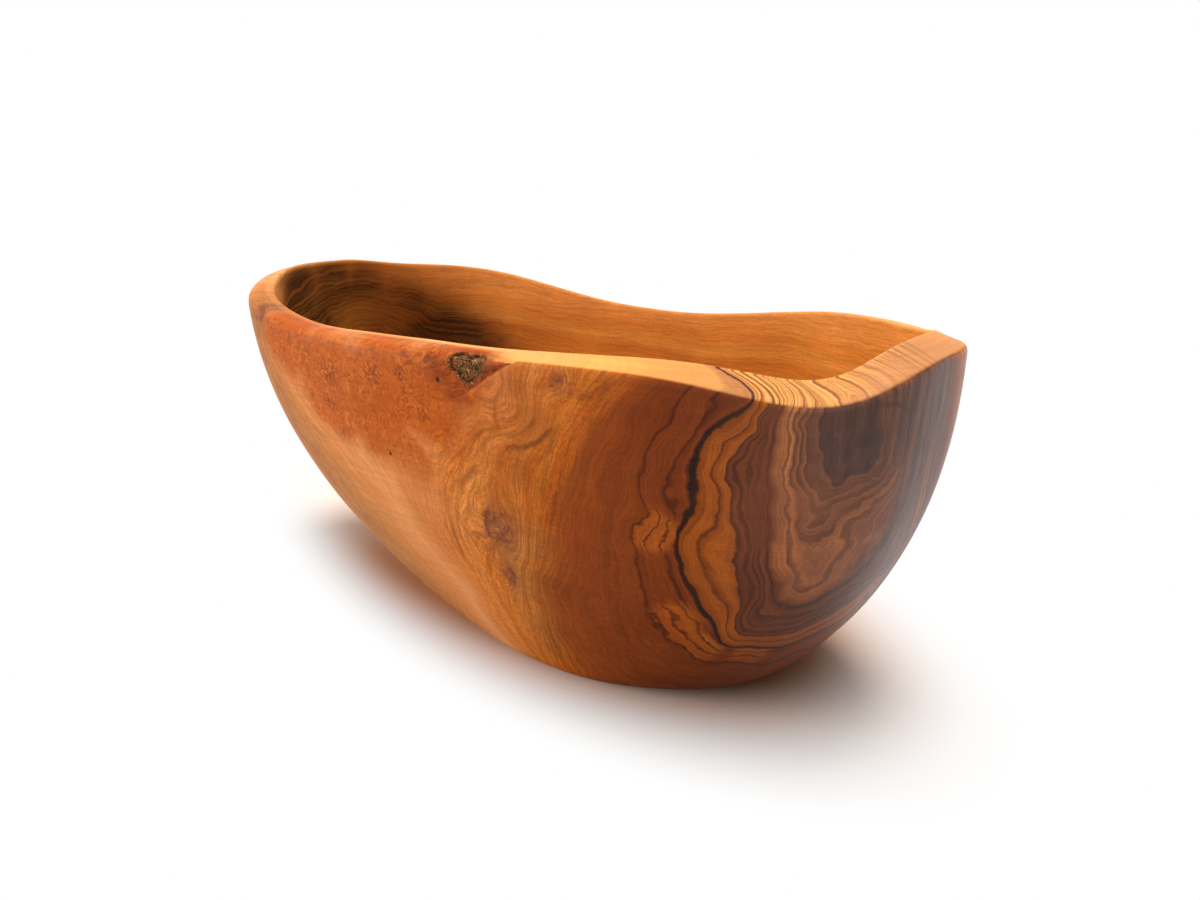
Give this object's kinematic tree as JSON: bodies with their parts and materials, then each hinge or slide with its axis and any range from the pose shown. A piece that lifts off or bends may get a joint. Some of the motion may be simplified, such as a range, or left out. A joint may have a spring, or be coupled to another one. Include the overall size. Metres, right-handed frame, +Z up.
{
  "type": "fruit bowl",
  "caption": "Oblong carved wooden bowl with a wavy, outward-sloping rim, full rounded walls, a flat base and a pocket of ingrown bark under the rim, for holding fruit.",
  "frame": {"origin": "on the resting plane, under the middle of the bowl's overall box", "axes": "+X along the bowl towards its steep end, -Y towards the straighter side with the bark, +Z up"},
  "size_m": [0.2998, 0.1358, 0.1307],
  "materials": {
    "olive_wood": "oiled satin",
    "bark": "rough, unfinished"
  },
  "bodies": {
    "root": {"bowl": "olive_wood", "bark_inclusion": "bark"}
  },
  "joints": []
}
